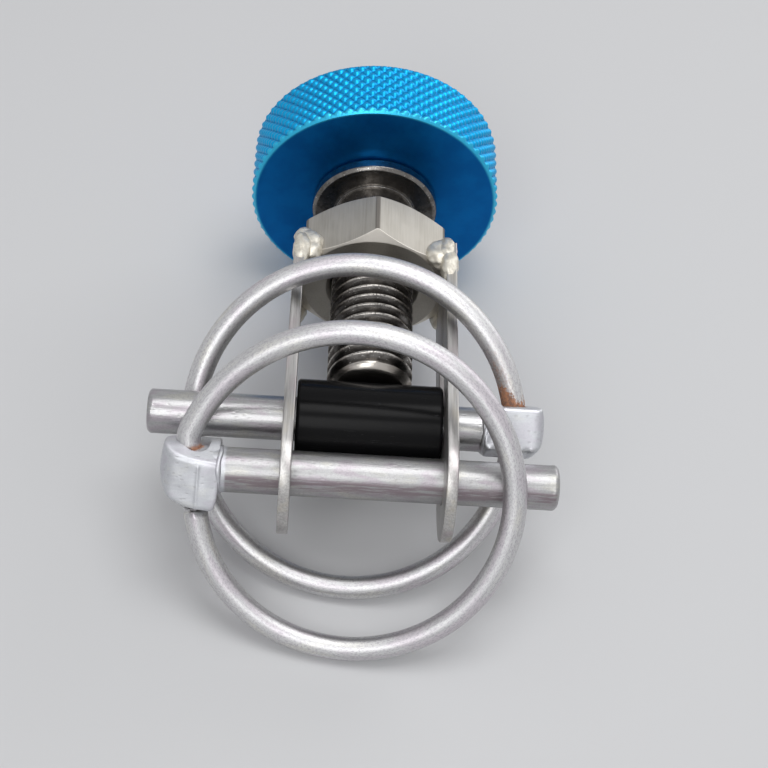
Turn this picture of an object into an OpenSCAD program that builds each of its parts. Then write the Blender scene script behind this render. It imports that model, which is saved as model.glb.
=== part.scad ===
// Tubing pinch clamp: two plates welded to a nut carry a fixed pin and a sliding, sleeved pin.
// A knurled knob turns the spindle, whose tip pushes the sleeve towards the fixed pin.
// Millimetres. +X runs along the pins, +Y along the spindle towards the knob, +Z is up.

/* [Frame] */
// Thickness of each side plate
plate_t = 1.5; // [1:0.1:2.5]
// Width of each side plate, which is also the diameter of its round front end
plate_w = 16; // [13:0.5:17]
// Distance from the front pin's axis to the plates' back end
plate_back = 36.4; // [36:0.1:41]
// Width of the nut across its flats, which is also the gap between the plates
nut_af = 20; // [18.5:0.1:22]
// Height of the nut
nut_h = 8.4; // [7:0.1:11]
// Distance from the front pin's axis to the nut's near face
nut_at = 33.7; // [33:0.1:35]
// Radius of the weld beads that join the plates to the nut
weld_r = 1.5; // [1:0.1:1.8]

/* [Spindle and knob] */
// Major diameter of the spindle's thread
thread_d = 11.8; // [10:0.1:12]
// Lead of the thread, which sets how far one turn moves the jaw
thread_pitch = 1.75; // [1:0.05:2]
// Depth of the thread's grooves
thread_depth = 1; // [0.8:0.05:1.1]
// Diameter of the plain shank between the thread and the collar
shank_d = 11.4; // [9:0.1:11.8]
// Length of the thread that stays behind the nut when the jaw is closed
thread_spare = 1.6; // [0.5:0.1:4]
// Free length between the nut and the collar when the jaw is closed
collar_gap = 6.9; // [3:0.1:10]
// Diameter of the spindle's collar
collar_d = 18.6; // [15:0.1:24]
// Thickness of the spindle's collar
collar_t = 2.2; // [1.5:0.1:4]
// Diameter of the knob over its knurling
knob_d = 37; // [34:0.5:40]
// Height of the knob
knob_h = 10.3; // [9:0.1:16]
// Width of the plain chamfer at each edge of the knob
knob_edge = 0.7; // [0.4:0.1:1.2]
// Distance between two knurling pips around the knob
knurl_pitch = 1.66; // [1.5:0.02:3]
// Distance between two knurling pips along the knob
knurl_rise = 1.78; // [1.5:0.02:3]
// Depth of the knurling
knurl_depth = 0.4; // [0.2:0.05:0.6]
// Diameter of the spigot that the knob sits on
spigot_d = 8; // [7:0.1:9.5]
// Width across the spigot's two flats
spigot_flats = 6.6; // [6:0.1:7]
// Thread diameter of the knob's retaining screw
screw_d = 4; // [3:0.1:5]
// Length of the retaining screw below its head
screw_len = 12; // [8:0.5:16]
// Diameter of the retaining screw's head
screw_head_d = 9.5; // [8.5:0.1:11]
// Height of the retaining screw's head
screw_head_h = 2.6; // [1.5:0.1:3]
// Width across the flats of the screw's socket
socket_af = 3; // [2:0.1:4]

/* [Jaw] */
// Distance between the two pins' axes when the jaw is closed
jaw_at = 9.1; // [9:0.1:11]
// How far the jaw slides back from there
jaw_travel = 11; // [6:0.5:12]
// Outer diameter of the jaw's sleeve
sleeve_d = 11; // [9:0.1:11.2]

/* [Pins] */
// Diameter of both pins
pin_d = 6; // [5:0.1:6.4]
// Chamfer at the free end of each pin
pin_chamfer = 0.5; // [0.2:0.1:1]
// Thickness of both pins' heads, front to back
head_t = 6.8; // [6.4:0.1:8]
// Distance from the mid-plane to the front pin's free end
front_tip = 25.4; // [24:0.1:28]
// Distance from the mid-plane to the front pin's ring hole
front_hole = 23.1; // [22:0.1:24.5]
// Lean of the front pin's ring hole, away from square to the pin
front_hole_lean = 8; // [0:0.5:10]
// Height of the front pin's head above the pin's axis
front_head_up = 3.7; // [3.4:0.1:4]
// Depth of the front pin's head below the pin's axis
front_head_down = 5.3; // [4.5:0.1:6]
// Length of the front pin's head from the ring hole to the shank
front_neck = 3.8; // [3:0.1:4.2]
// Length of the front pin's head beyond the ring hole
front_nose = 4.3; // [3:0.1:4.5]
// Distance from the mid-plane to the rear pin's free end
rear_tip = 29.7; // [27:0.1:32]
// Distance from the mid-plane to the rear pin's ring hole
rear_hole = 19.5; // [19:0.1:21]
// Half the height of the rear pin's head
rear_head_half = 3.5; // [3.4:0.1:4]
// Length of the rear pin's head from the ring hole to the shank
rear_neck = 4.1; // [3:0.1:4.5]
// Length of the rear pin's head beyond the ring hole
rear_nose = 4.2; // [3:0.1:5]

/* [Rings] */
// Diameter of the rings' wire
wire_d = 3.2; // [2.5:0.1:3.4]
// Radius of the front ring to the middle of the wire
front_ring_r = 21.5; // [20.8:0.1:22]
// Distance along the pin from the front pin's hole to the front ring's centre
front_ring_out = 21.2; // [20.8:0.1:21.6]
// How far the front ring's centre lies below its pin, along the ring
front_ring_drop = 1.7; // [0.5:0.1:2.2]
// Radius of the rear ring to the middle of the wire
rear_ring_r = 22.1; // [21.5:0.1:22.8]
// Distance along the pin from the rear pin's hole to the rear ring's centre
rear_ring_out = 21.6; // [21.2:0.1:22]
// How far the rear ring's centre lies below its pin, along the ring
rear_ring_drop = 0.7; // [0:0.1:1.2]
// Radius of the bend where each end of a ring enters its hole
end_bend = 2.6; // [2:0.1:3.5]

/* [Clearances] */
// Radial clearance of a pin in its hole or slot
pin_clear = 0.1; // [0.05:0.01:0.2]
// Radial clearance of the thread in the nut
thread_clear = 0.08; // [0.05:0.01:0.1]
// Radial clearance of the sleeve on its pin
sleeve_clear = 0.1; // [0.05:0.01:0.3]
// Gap between each end of the sleeve and the plate beside it
sleeve_side = 0.2; // [0.1:0.05:0.5]
// Radial clearance of a ring's end in its hole
wire_clear = 0.08; // [0.05:0.01:0.1]
// Gap that is left where two loose pieces touch
touch_gap = 0.05; // [0.02:0.01:0.1]
// Radial clearance of the knob and its screw on the spindle
seat_clear = 0.05; // [0.02:0.01:0.1]

/* [Hidden] */
$fn = 64;
eps = 0.01;

pin_r = pin_d / 2;
wire_r = wire_d / 2;
thread_r = thread_d / 2;
knob_r = knob_d / 2;
half_gap = nut_af / 2;
plate_out = half_gap + plate_t;

// Where two stretches of a ring's wire meet, a round joint covers the gap between their ends.
joint_swell = 0.05;
joint_gap = 0.1;

// Depth of the knob screw's hole past the screw's end
screw_spare = 0.5;

// Sides of one turn of the thread, the edges of its crest and root as shares of the lead, the height
// of its first crest above the tip, the length over which its grooves run out, and the tip's bevel
thread_sides = 36;
thread_edges = [-1 / 16, 1 / 16, 7 / 16, 9 / 16];
thread_first = 0.55;
thread_runout = 2;
tip_bevel = 1.2;

// Places along the spindle, measured from the front pin's axis
spindle_tip = jaw_at + sleeve_d / 2 + touch_gap;
nut_far = nut_at + nut_h;
collar_at = nut_far + collar_gap;
knob_at = collar_at + collar_t;
knob_far = knob_at + knob_h;

// A ring is a list: radius, place of its centre along and above its hole's axis, the lean of that
// axis, and its tilt about the axis, which lays the ring's far side against the pin.
function ring(radius, out, drop, lean, side) = [
    radius, out * cos(lean) - drop * sin(lean), -out * sin(lean) - drop * cos(lean), lean,
    side * asin((pin_r + wire_r + touch_gap) / (cos(lean) * (out + sqrt(pow(radius, 2) - pow(drop, 2)))))
];
front = ring(front_ring_r, front_ring_out, front_ring_drop, front_hole_lean, 1);
rear = ring(rear_ring_r, rear_ring_out, rear_ring_drop, 0, -1);

// How far a ring reaches along a direction given by its parts up the ring and away from it.
function ring_reach(ring, up, away) =
    let (
        along_hole = cos(ring[3]) * up,
        across = cos(ring[4]) * sin(ring[3]) * up + sin(ring[4]) * away
    )
    ring[2] * along_hole + ring[1] * across + ring[0] * norm([along_hole, across]) + wire_r;

// Lean of a ring's pin from upright at which the ring is as low as the knob, found by halving.
function pin_lean(ring, low = 0, high = 80) =
    let (middle = (low + high) / 2)
    high - low < 0.0001 ? middle
    : ring_reach(ring, -cos(middle), -sin(middle)) > knob_r ? pin_lean(ring, middle, high)
    : pin_lean(ring, low, middle);

front_lean = pin_lean(front);
rear_lean = pin_lean(rear);

// The origin is the middle of the clamp's outline on the floor.
front_reach = ring_reach(front, -sin(front_lean), cos(front_lean));
mid_x = (front_tip - rear_tip) / 2;
mid_y = (knob_far - front_reach) / 2;

// Weld beads: how far each runs past its seam, its lumps, and how much thinner it is between them
weld_past = 0.6;
weld_len = plate_back - nut_at + 2 * weld_past;
weld_lumps = max(1, round(weld_len / (1.6 * weld_r)));
weld_waist = 0.84;

// Puts the working frame's zero, on the front pin's axis between the plates, in its place.
module placed() {
    translate([-mid_x, -mid_y, knob_r]) children();
}

// Turns a shape made along Z so that it lies along the spindle, from the given place on.
module along_spindle(at) {
    translate([0, at, 0]) rotate([-90, 0, 0]) children();
}

// Turns a shape made along Z so that it lies along the pins.
module along_pins() {
    rotate([0, 90, 0]) children();
}

// Outline of a side plate, with X along the spindle: a round front end and a square back.
module plate_outline() {
    circle(d = plate_w);
    translate([0, -plate_w / 2]) square([plate_back, plate_w]);
}

// A side plate with its pin hole and its slot. The slot lets the jaw's pin slide.
module plate() {
    difference() {
        linear_extrude(plate_t) plate_outline();
        translate([0, 0, -eps]) cylinder(r = pin_r + pin_clear, h = plate_t + 2 * eps);
        for (at = [jaw_at, jaw_at + jaw_travel])
            translate([at, 0, -eps]) cylinder(r = pin_r + pin_clear, h = plate_t + 2 * eps);
        translate([jaw_at, -pin_r - pin_clear, -eps])
            cube([jaw_travel, 2 * (pin_r + pin_clear), plate_t + 2 * eps]);
    }
}

// Stands a plate up across the pins, with its inner or outer face at the given X.
module plate_at(x) {
    translate([x, 0, 0]) rotate([90, 0, 90]) plate();
}

module left_plate() {
    color("lightgray") placed() plate_at(-plate_out);
}

module right_plate() {
    color("lightgray") placed() plate_at(half_gap);
}

// The nut's blank: flats against the plates, a corner up, both ends chamfered.
module nut_blank() {
    corner_r = nut_af / sqrt(3);
    face_r = half_gap - 0.25;
    bevel = (corner_r - face_r) * tan(30);
    intersection() {
        rotate([0, 0, 30]) cylinder(r = corner_r, h = nut_h, $fn = 6);
        rotate_extrude() polygon([
            [0, 0], [face_r, 0], [corner_r + eps, bevel + eps],
            [corner_r + eps, nut_h - bevel - eps], [face_r, nut_h], [0, nut_h]
        ]);
    }
}

module nut() {
    bore_r = thread_r + thread_clear;
    mouth = 0.7;
    color("beige") placed() along_spindle(nut_at) difference() {
        nut_blank();
        translate([0, 0, -eps]) cylinder(r = bore_r, h = nut_h + 2 * eps);
        translate([0, 0, -eps]) cylinder(r1 = bore_r + mouth, r2 = bore_r, h = mouth);
        translate([0, 0, nut_h - mouth + eps]) cylinder(r1 = bore_r, r2 = bore_r + mouth, h = mouth);
    }
}

// A lumpy rod along Z, thin at both ends, that a weld bead is cut from.
module bead_rod() {
    steps = 4 * weld_lumps;
    rotate_extrude() polygon(concat(
        [[0, 0]],
        [for (i = [0 : steps])
            let (swell = (1 - cos(90 * i)) / 2, end = i == 0 || i == steps ? 0.55 : 1)
            [weld_r * end * (weld_waist + (1 - weld_waist) * swell), weld_len * i / steps]],
        [[0, weld_len]]
    ));
}

// One bead in the groove between a plate's edge and the nut's sloping flat.
module weld_bead(side, up) {
    spare = 2 * weld_r;
    difference() {
        translate([side * (half_gap - 0.1 * weld_r), 0, up * (plate_w / 2 - 0.3 * weld_r)])
            along_spindle(nut_at - weld_past) bead_rod();
        along_spindle(nut_at - spare) rotate([0, 0, 30])
            cylinder(r = nut_af / sqrt(3), h = nut_h + 2 * spare, $fn = 6);
        translate([side > 0 ? half_gap : -plate_out, nut_at - spare, -plate_w / 2])
            cube([plate_t, nut_h + 2 * spare, plate_w]);
    }
}

module left_welds() {
    color("wheat") placed() for (up = [-1, 1]) weld_bead(-1, up);
}

module right_welds() {
    color("wheat") placed() for (up = [-1, 1]) weld_bead(1, up);
}

// The threaded length, with its tip at zero. The edges of crest and root run round it as four helical
// lines that start at the top, and each end is closed from a point on the axis, then cut flat.
module threaded_rod(length) {
    buried = 0.3;
    base = thread_first - 2 * thread_pitch;
    last = thread_sides * ceil((length - base) / thread_pitch + 0.5);
    function height(line, step) = base + thread_pitch * (thread_edges[line] + step / thread_sides);
    function radius(line, at) = min(
        thread_r - (line > 1 ? thread_depth * min(1, max(0, length - at) / thread_runout) : 0),
        shank_d / 2 - 0.1 + max(0, length - at),
        thread_r - tip_bevel + max(0, at)
    );
    function spot(line, step) = line < 4 ? line * (last + 1) + step : step + thread_sides;
    points = [
        for (line = [0 : 3]) for (step = [0 : last])
            let (a = 270 + 360 * step / thread_sides, at = height(line, step), r = radius(line, at))
            [r * cos(a), r * sin(a), at],
        [0, 0, height(0, thread_sides / 2)],
        [0, 0, height(3, last - thread_sides / 2)]
    ];
    walls = [
        for (line = [0 : 3]) for (step = [0 : last - 1 - (line == 3 ? thread_sides : 0)])
            let (
                a = spot(line, step), b = spot(line, step + 1),
                c = spot(line + 1, step + 1), d = spot(line + 1, step)
            )
            each [[a, d, c], [a, c, b]]
    ];
    start = [
        for (step = [0 : thread_sides]) spot(0, step), spot(3, 0), spot(2, 0), spot(1, 0), spot(0, 0)
    ];
    end = [
        for (step = [last : -1 : last - thread_sides]) spot(3, step),
        spot(0, last), spot(1, last), spot(2, last), spot(3, last)
    ];
    caps = [
        for (i = [1 : len(start) - 1]) [4 * last + 4, start[i - 1], start[i]],
        for (i = [1 : len(end) - 1]) [4 * last + 5, end[i - 1], end[i]]
    ];
    intersection() {
        polyhedron(points = points, faces = concat(walls, caps));
        cylinder(r = thread_r + 1, h = length + buried);
    }
}

// The spindle, turned in one piece: thread, shank, collar, and a spigot for the knob.
module spindle() {
    thread_end = nut_far + thread_spare;
    collar_bevel = 0.4;
    spigot_len = knob_h - screw_head_h - touch_gap;
    hole_len = screw_len + screw_spare;
    color("dimgray") placed() difference() {
        union() {
            along_spindle(spindle_tip) threaded_rod(thread_end - spindle_tip);
            along_spindle(0) rotate_extrude() polygon([
                [0, thread_end], [shank_d / 2, thread_end],
                [shank_d / 2, collar_at], [collar_d / 2 - collar_bevel, collar_at],
                [collar_d / 2, collar_at + collar_bevel], [collar_d / 2, knob_at - collar_bevel],
                [collar_d / 2 - collar_bevel, knob_at], [0, knob_at]
            ]);
            along_spindle(knob_at - eps) intersection() {
                cylinder(d = spigot_d, h = spigot_len + eps);
                translate([-spigot_flats / 2, -spigot_d, 0])
                    cube([spigot_flats, 2 * spigot_d, spigot_len + eps]);
            }
        }
        along_spindle(knob_at + spigot_len - hole_len)
            cylinder(r = screw_d / 2 + seat_clear, h = hole_len + eps);
    }
}

// The knurled drum. Every second grid point around and along stands out as a pip.
module knurled_drum() {
    around = 2 * round(PI * knob_d / knurl_pitch);
    rows = 2 * round((knob_h - 2 * knob_edge) / knurl_rise);
    face_r = knob_r - knob_edge;
    row_h = (knob_h - 2 * knob_edge) / rows;
    heights = concat([0], [for (j = [0 : rows]) knob_edge + j * row_h], [knob_h]);
    last = len(heights) - 1;
    function pip(i, j) = (i + j) % 2 == 0;
    function radius(i, j) =
        j == 0 || j == last ? face_r
        : j == 1 || j == last - 1 ? knob_r - knurl_depth
        : pip(i, j) ? knob_r : knob_r - knurl_depth;
    function spot(i, j) = j * around + i % around;
    points = [
        for (j = [0 : last]) for (i = [0 : around - 1])
            let (a = 360 * i / around, r = radius(i, j)) [r * cos(a), r * sin(a), heights[j]]
    ];
    walls = [
        for (j = [0 : last - 1]) for (i = [0 : around - 1])
            let (a = spot(i, j), b = spot(i + 1, j), c = spot(i + 1, j + 1), d = spot(i, j + 1))
            each pip(i, j) ? [[a, d, b], [d, c, b]] : [[a, c, b], [a, d, c]]
    ];
    bottom = [[for (i = [0 : around - 1]) spot(i, 0)]];
    top = [[for (i = [around - 1 : -1 : 0]) spot(i, last)]];
    polyhedron(points = points, faces = concat(bottom, walls, top));
}

module knob() {
    head_r = screw_head_d / 2 + 0.25;
    head_at = knob_h - screw_head_h - touch_gap;
    color("dodgerblue") placed() along_spindle(knob_at) difference() {
        knurled_drum();
        translate([0, 0, -eps]) intersection() {
            cylinder(r = spigot_d / 2 + seat_clear, h = head_at + 2 * eps);
            translate([-spigot_flats / 2 - seat_clear, -spigot_d, 0])
                cube([spigot_flats + 2 * seat_clear, 2 * spigot_d, head_at + 2 * eps]);
        }
        translate([0, 0, head_at]) cylinder(r = head_r, h = screw_head_h + 1);
    }
}

// The screw that holds the knob on its spigot, with a low head and a six-sided socket.
module knob_screw() {
    crown = 0.5;
    head_at = knob_far - screw_head_h;
    color("silver") placed() difference() {
        along_spindle(0) rotate_extrude() polygon([
            [0, head_at - screw_len], [screw_d / 2 - 0.4, head_at - screw_len],
            [screw_d / 2, head_at - screw_len + 0.4], [screw_d / 2, head_at],
            [screw_head_d / 2, head_at], [screw_head_d / 2, knob_far - crown - 0.2],
            [screw_head_d / 2 - crown, knob_far - 0.2], [0, knob_far - 0.2]
        ]);
        along_spindle(knob_far - screw_head_h * 0.75)
            cylinder(d = socket_af / cos(30), h = screw_head_h, $fn = 6);
    }
}

// A round pin along X from the head's hole to its free end, which is chamfered.
module shank(from, to) {
    side = to > from ? 1 : -1;
    rotate([0, side * 90, 0]) translate([0, 0, side * from]) rotate_extrude() polygon([
        [0, 0], [pin_r, 0], [pin_r, abs(to - from) - pin_chamfer],
        [pin_r - pin_chamfer, abs(to - from)], [0, abs(to - from)]
    ]);
}

// The cross hole that a ring's two ends sit in. Its mouths open out to let the wire lean.
module ring_hole(lean, up, down) {
    hole_r = wire_r + wire_clear;
    mouth_h = 1.2;
    mouth_r = hole_r + 0.75;
    top = up / cos(lean);
    bottom = down / cos(lean);
    rotate([0, -lean, 0]) {
        translate([0, 0, -bottom - 1]) cylinder(r = hole_r, h = bottom + top + 2);
        translate([0, 0, top - mouth_h]) cylinder(r1 = hole_r, r2 = mouth_r, h = mouth_h + eps);
        translate([0, 0, -bottom - eps]) cylinder(r1 = mouth_r, r2 = hole_r, h = mouth_h);
    }
}

// The front pin's head, a pressed lug: its side outline, cut to its end-on outline.
module front_head() {
    nose = -front_nose;
    neck = front_neck;
    intersection() {
        rotate([90, 0, 0]) linear_extrude(2 * head_t, center = true) polygon([
            [nose + 0.5, front_head_up - 0.3], [nose, 0.5], [nose + 0.1, -front_head_down * 0.3],
            [nose + 1.1, -front_head_down * 0.65], [-1, -front_head_down * 0.9],
            [1, -front_head_down], [neck - 0.7, -front_head_down], [neck, -pin_r],
            [neck, pin_r], [neck - 0.7, front_head_up], [0, front_head_up]
        ]);
        rotate([90, 0, 90]) linear_extrude(4 * front_nose, center = true) polygon([
            [-head_t / 2 + 0.4, -front_head_down - 1], [-head_t / 2, -front_head_down * 0.6],
            [-head_t / 2, 1.1], [-head_t / 2 + 2, front_head_up + 0.2],
            [head_t / 2 - 1, front_head_up + 0.2], [head_t / 2, front_head_up - 1],
            [head_t / 2, -front_head_down + 0.9], [head_t / 2 - 0.9, -front_head_down - 1]
        ]);
    }
}

module front_pin() {
    color("gainsboro") placed() rotate([-front_lean, 0, 0]) difference() {
        union() {
            shank(-front_hole, front_tip);
            translate([-front_hole, 0, 0]) front_head();
        }
        translate([-front_hole, 0, 0]) ring_hole(front_hole_lean, front_head_up, front_head_down);
    }
}

// The rear pin's head: the pin's end pressed nearly square, with its long edges broken.
module rear_head() {
    half_t = head_t / 2;
    up = rear_head_half;
    cut = 0.9;
    intersection() {
        rotate([90, 0, 90]) linear_extrude(4 * rear_nose, center = true) polygon([
            [-half_t, -up + cut], [-half_t + cut, -up], [half_t - cut, -up], [half_t, -up + cut],
            [half_t, up - cut / 2], [half_t - cut / 2, up], [-half_t + cut / 2, up], [-half_t, up - cut / 2]
        ]);
        rotate([90, 0, 0]) linear_extrude(2 * head_t, center = true) polygon([
            [-rear_neck, -up - eps], [rear_nose - 1, -up - eps], [rear_nose - 0.2, -up + 1.4],
            [rear_nose, 0.6], [rear_nose - 0.3, up + eps], [-rear_neck, up + eps]
        ]);
    }
}

module rear_pin() {
    color("silver") placed() translate([0, jaw_at, 0]) rotate([-rear_lean, 0, 0]) difference() {
        union() {
            shank(rear_hole, -rear_tip);
            translate([rear_hole, 0, 0]) rear_head();
        }
        translate([rear_hole, 0, 0]) ring_hole(0, rear_head_half, rear_head_half);
    }
}

// A stretch of wire bent about a centre in the ring's plane, with angles from +X towards +Z. Both
// its ends stop short, inside the round joints there.
module wire_arc(center, bend, from, sweep) {
    short = joint_gap / bend * 180 / PI;
    translate([center[0], 0, center[1]]) rotate([90, 0, 0]) rotate([0, 0, from + short])
        rotate_extrude(angle = sweep - 2 * short) translate([bend, 0]) circle(r = wire_r);
}

// The round joint of two stretches, which is a little thicker than the wire.
module wire_joint(place) {
    translate([place[0], 0, place[1]]) sphere(r = wire_r + joint_swell);
}

// One end of a ring, along +Z. The round part, centred at [x, z], passes at the angle from into a
// shoulder of another radius, then into a tight bend at the hole's mouth, then into the hole.
module ring_end(radius, center, mouth, from) {
    hole_gap = 0.2;
    run = center[0] - end_bend;
    rise = mouth - center[1];
    inner = radius - end_bend;
    // Extra radius of the shoulder that makes it tangent to the round part and to the bend
    extra = (pow(run, 2) + pow(rise, 2) - pow(inner, 2))
        / (2 * (inner + run * cos(from) - rise * sin(from)));
    shoulder = center - extra * [cos(from), sin(from)];
    turn = atan2(mouth - shoulder[1], shoulder[0] - end_bend);
    wire_joint(center + radius * [cos(from), sin(from)]);
    wire_arc(shoulder, radius + extra, from, 180 - turn - from);
    wire_joint([end_bend - end_bend * cos(turn), mouth + end_bend * sin(turn)]);
    wire_arc([end_bend, mouth], end_bend, 180 - turn, turn);
    wire_joint([0, mouth]);
    translate([0, 0, hole_gap]) cylinder(r = wire_r, h = mouth - hole_gap - joint_gap);
}

// A spring ring in its own plane, with its hole along Z at zero and its far side towards +X.
module spring_ring(ring, up, down) {
    shoulder_up = 95;
    shoulder_down = 120;
    center = [ring[1], ring[2]];
    mouth_up = up / cos(ring[3]) + touch_gap;
    mouth_down = down / cos(ring[3]) + touch_gap;
    wire_arc(center, ring[0], -shoulder_down, shoulder_down + shoulder_up);
    ring_end(ring[0], center, mouth_up, shoulder_up);
    mirror([0, 0, 1]) ring_end(ring[0], [center[0], -center[1]], mouth_down, shoulder_down);
}

module front_ring() {
    color("gainsboro") placed() rotate([-front_lean, 0, 0]) translate([-front_hole, 0, 0])
        rotate([0, -front_hole_lean, 0]) rotate([0, 0, -front[4]])
        spring_ring(front, front_head_up, front_head_down);
}

module rear_ring() {
    color("silver") placed() translate([0, jaw_at, 0]) rotate([-rear_lean, 0, 0])
        translate([rear_hole, 0, 0]) rotate([0, 0, 180 + rear[4]])
        spring_ring(rear, rear_head_half, rear_head_half);
}

// The sleeve that turns on the jaw's pin and presses the tube.
module jaw_sleeve() {
    length = nut_af - 2 * sleeve_side;
    edge = 0.3;
    color([0.06, 0.06, 0.07]) placed() translate([0, jaw_at, 0]) along_pins()
        translate([0, 0, -length / 2]) rotate_extrude() polygon([
            [pin_r + sleeve_clear, 0], [sleeve_d / 2 - edge, 0], [sleeve_d / 2, edge],
            [sleeve_d / 2, length - edge], [sleeve_d / 2 - edge, length], [pin_r + sleeve_clear, length]
        ]);
}

left_plate();
right_plate();
nut();
left_welds();
right_welds();
spindle();
knob();
knob_screw();
rear_pin();
rear_ring();
jaw_sleeve();
front_pin();
front_ring();
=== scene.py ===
"""Looks of the tubing pinch clamp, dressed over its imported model. Shapes are worked out in
millimetres from a zero on the front pin's axis between the plates: x along the pins, s along the
spindle towards the knob, n up. They are moved to their place and turned to metres when a mesh is
made."""

import bmesh
import bpy
import numpy as np
from mathutils import Matrix, Vector


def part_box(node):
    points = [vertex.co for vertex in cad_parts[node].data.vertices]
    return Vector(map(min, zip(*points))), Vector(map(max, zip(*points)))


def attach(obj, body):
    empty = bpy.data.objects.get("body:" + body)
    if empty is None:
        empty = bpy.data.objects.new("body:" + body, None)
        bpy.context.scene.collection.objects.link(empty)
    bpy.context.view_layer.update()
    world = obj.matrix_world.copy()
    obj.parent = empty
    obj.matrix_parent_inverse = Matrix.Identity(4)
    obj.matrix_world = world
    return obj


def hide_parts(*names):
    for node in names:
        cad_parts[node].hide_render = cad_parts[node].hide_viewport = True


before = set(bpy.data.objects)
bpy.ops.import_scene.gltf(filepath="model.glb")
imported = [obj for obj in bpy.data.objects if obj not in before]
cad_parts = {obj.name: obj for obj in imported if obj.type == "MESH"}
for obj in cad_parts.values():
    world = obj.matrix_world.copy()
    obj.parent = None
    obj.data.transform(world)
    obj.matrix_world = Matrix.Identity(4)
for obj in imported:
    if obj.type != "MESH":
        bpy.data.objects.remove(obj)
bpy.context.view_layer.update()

MM = 0.001

# ---------------------------------------------------------------- sizes, in millimetres


def box_mm(node):
    """A node's lowest and highest corners, in millimetres."""
    low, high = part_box(node)
    return np.array(low) / MM, np.array(high) / MM


plate_low, plate_high = box_mm("left_plate")
sleeve_low, sleeve_high = box_mm("jaw_sleeve")
nut_low, nut_high = box_mm("nut")
knob_low, knob_high = box_mm("knob")
spindle_low, spindle_high = box_mm("spindle")

PLATE_HALF_W = (plate_high[2] - plate_low[2]) / 2
ZERO = np.array([
    (sleeve_low[0] + sleeve_high[0]) / 2,
    plate_low[1] + PLATE_HALF_W,
    (plate_low[2] + plate_high[2]) / 2,
])

JAW_AT = (sleeve_low[1] + sleeve_high[1]) / 2 - ZERO[1]
SLEEVE_R = (sleeve_high[2] - sleeve_low[2]) / 2
SLEEVE_HALF = (sleeve_high[0] - sleeve_low[0]) / 2
SLEEVE_BORE_R = 3.1

HALF_GAP = (nut_high[0] - nut_low[0]) / 2
PLATE_FAR = plate_high[1] - ZERO[1]
NUT_NEAR, NUT_FAR = nut_low[1] - ZERO[1], nut_high[1] - ZERO[1]
NUT_CORNER_R = HALF_GAP / np.cos(np.pi / 6)
NUT_FACE_R = HALF_GAP - 0.25
NUT_CONE_SLOPE = 1 / np.tan(np.radians(30))
NUT_BORE_R = 5.98
COUNTERSINK = 0.7

KNOB_NEAR, KNOB_FAR = knob_low[1] - ZERO[1], knob_high[1] - ZERO[1]
KNOB_R = (knob_high[2] - knob_low[2]) / 2
KNOB_EDGE = 0.7
KNOB_BORE_R = 4.05
COUNTERBORE_R = 5.0
SCREW_HEAD_H = 2.65
SCREW_SEAT = KNOB_FAR - SCREW_HEAD_H
KNURL_AROUND = 140
KNURL_ROWS = 10
KNURL_DEPTH = 0.42
PIP_POWER = 0.62

THREAD_R, THREAD_PITCH, THREAD_DEPTH = 5.9, 1.75, 1.0
THREAD_CREST_AT = 15.2
THREAD_RUNOUT = 2.0
TIP_BEVEL, TIP_SLOPE = 1.25, 1.05
SPINDLE_TIP = spindle_low[1] - ZERO[1]
THREAD_END = 43.7
COLLAR_NEAR, COLLAR_R = 49.0, (spindle_high[2] - spindle_low[2]) / 2
COLLAR_BEVEL = 0.45
SHANK_R = 5.7
SPIGOT_R = 3.9
SCREW_HOLE_R = 2.1

PIN_R = 3.0
WIRE_R = 1.6
# Radius of the tight bend where a ring's wire turns into its hole
END_BEND = 2.6
TOUCH_GAP = 0.05
# Half the gap between a ring's two ends in the middle of its hole
HOLE_GAP = 0.2

# Degrees by which each pin and its ring lean over the floor
FRONT_LEAN, REAR_LEAN = 38.9033, 48.6319
# How far the middle of each head's hole and each free end are from the plates' middle
FRONT_HOLE, FRONT_HOLE_LEAN, FRONT_TIP = 23.1, 8.0, 25.4
REAR_HOLE, REAR_TIP = 19.5, 29.7
# Each head's reach from the middle of its hole up and down the hole, and how deep its cups are
FRONT_UP, FRONT_DOWN = 3.7, 5.3
REAR_HALF = 3.5
CUP_DEPTH = 1.1

# Each ring: radius, its centre's place beside and above its hole's middle, and the degrees by
# which it is turned about the hole
FRONT_RING = (21.5, 20.7571, -4.63393, 6.32357)
REAR_RING = (22.1, 21.6, -0.7, -6.10981)
# Angles, from the ring's far side, at which the round part gives way to the shoulders
SHOULDER_UP, SHOULDER_DOWN = 95.0, 120.0


# ---------------------------------------------------------------- meshes


def turned(points, axis, degrees):
    """Points turned about the x, y or z axis through zero, by the right-hand rule."""
    a, b = [(1, 2), (2, 0), (0, 1)]["xyz".index(axis)]
    c, s = np.cos(np.radians(degrees)), np.sin(np.radians(degrees))
    out = np.array(points, float)
    out[..., a] = c * points[..., a] - s * points[..., b]
    out[..., b] = s * points[..., a] + c * points[..., b]
    return out


def grid_faces(rows, cols, closed):
    """Quads between the neighbours of a grid of points. Its columns wrap round if it is closed."""
    r, c = np.meshgrid(np.arange(rows - 1), np.arange(cols if closed else cols - 1), indexing="ij")
    below, beside = r + 1, (c + 1) % cols
    return np.stack(
        [r * cols + c, r * cols + beside, below * cols + beside, below * cols + c], -1
    ).reshape(-1, 4)


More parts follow.
